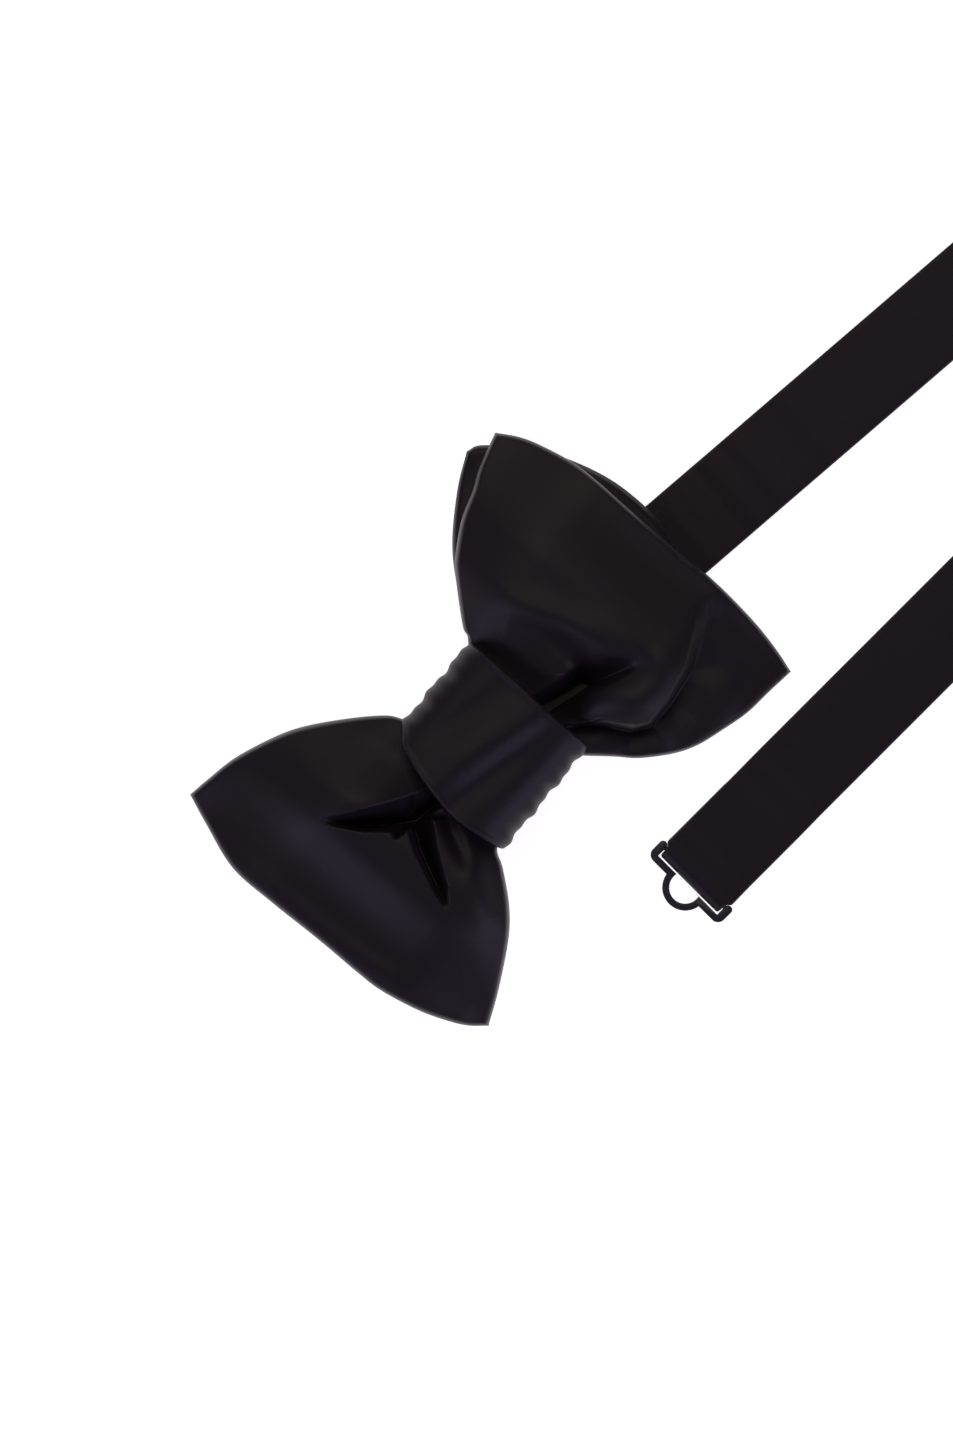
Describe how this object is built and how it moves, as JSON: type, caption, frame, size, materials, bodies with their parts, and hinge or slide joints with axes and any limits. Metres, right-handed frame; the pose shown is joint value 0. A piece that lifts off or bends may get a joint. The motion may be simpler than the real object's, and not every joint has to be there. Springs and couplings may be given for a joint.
{
  "type": "bow tie",
  "caption": "Pre-tied butterfly bow tie in black satin with a puffed bow, a wrapped knot and an adjustable neckband that closes with a hook and an eye.",
  "frame": {"origin": "under the knot, on the plane that the tie lies on", "axes": "+X along the bow towards the side the neckband leaves from, +Y across the bow, +Z out of the bow's front"},
  "size_m": [0.2991, 0.1381, 0.0261],
  "materials": {
    "satin": "black satin, smooth with a soft sheen",
    "lining": "plain woven cotton interlining",
    "thread": "matt sewing thread",
    "fitting": "semi-gloss black enamel on steel"
  },
  "bodies": {
    "bow": {"front_wing_left": "satin", "front_wing_right": "satin", "rear_wing_left": "satin", "rear_wing_right": "satin", "front_interlining_left": "lining", "front_interlining_right": "lining", "rear_interlining_left": "lining", "rear_interlining_right": "lining", "knot_wrap": "satin", "knot_filler": "lining", "knot_seam_stitches": "thread", "keeper_loop": "satin", "keeper_stitches": "thread"},
    "band": {"neckband_near": "satin", "near_interlining": "lining"},
    "hook": {"hook_plate": "fitting"},
    "adjuster": {"adjuster_slide": "fitting", "adjuster_bartack": "thread", "band_tail": "satin"},
    "band_return": {"neckband_far": "satin", "far_interlining": "lining", "eye_bartack": "thread"},
    "eye": {"eye_plate": "fitting"}
  },
  "joints": [
    {"name": "bow_slide", "type": "slide", "parent": "bow", "child": "band", "axis": [1, 0, 0], "range_m": [-0.008, 0.028]},
    {"name": "adjuster_slide_on_band", "type": "slide", "parent": "band", "child": "adjuster", "axis": [1, 0, 0], "range_m": [-0.01, 0], "deforming": ["band_tail"]},
    {"name": "hook_pivot", "type": "hinge", "parent": "band", "child": "hook", "pos_m": [-0.047, 0, 0.00265], "axis": [0, 1, 0], "range_deg": [-60, 0]},
    {"name": "band_open", "type": "hinge", "parent": "band", "child": "band_return", "pos_m": [0.23322, -0.05697, 0.01125], "axis": [0, 0, 1], "range_deg": [0, 60]},
    {"name": "eye_pivot", "type": "hinge", "parent": "band_return", "child": "eye", "pos_m": [0.00678, -0.06119, 0.0023], "axis": [-0.0924, -0.9957, 0], "range_deg": [-75, 75]}
  ]
}
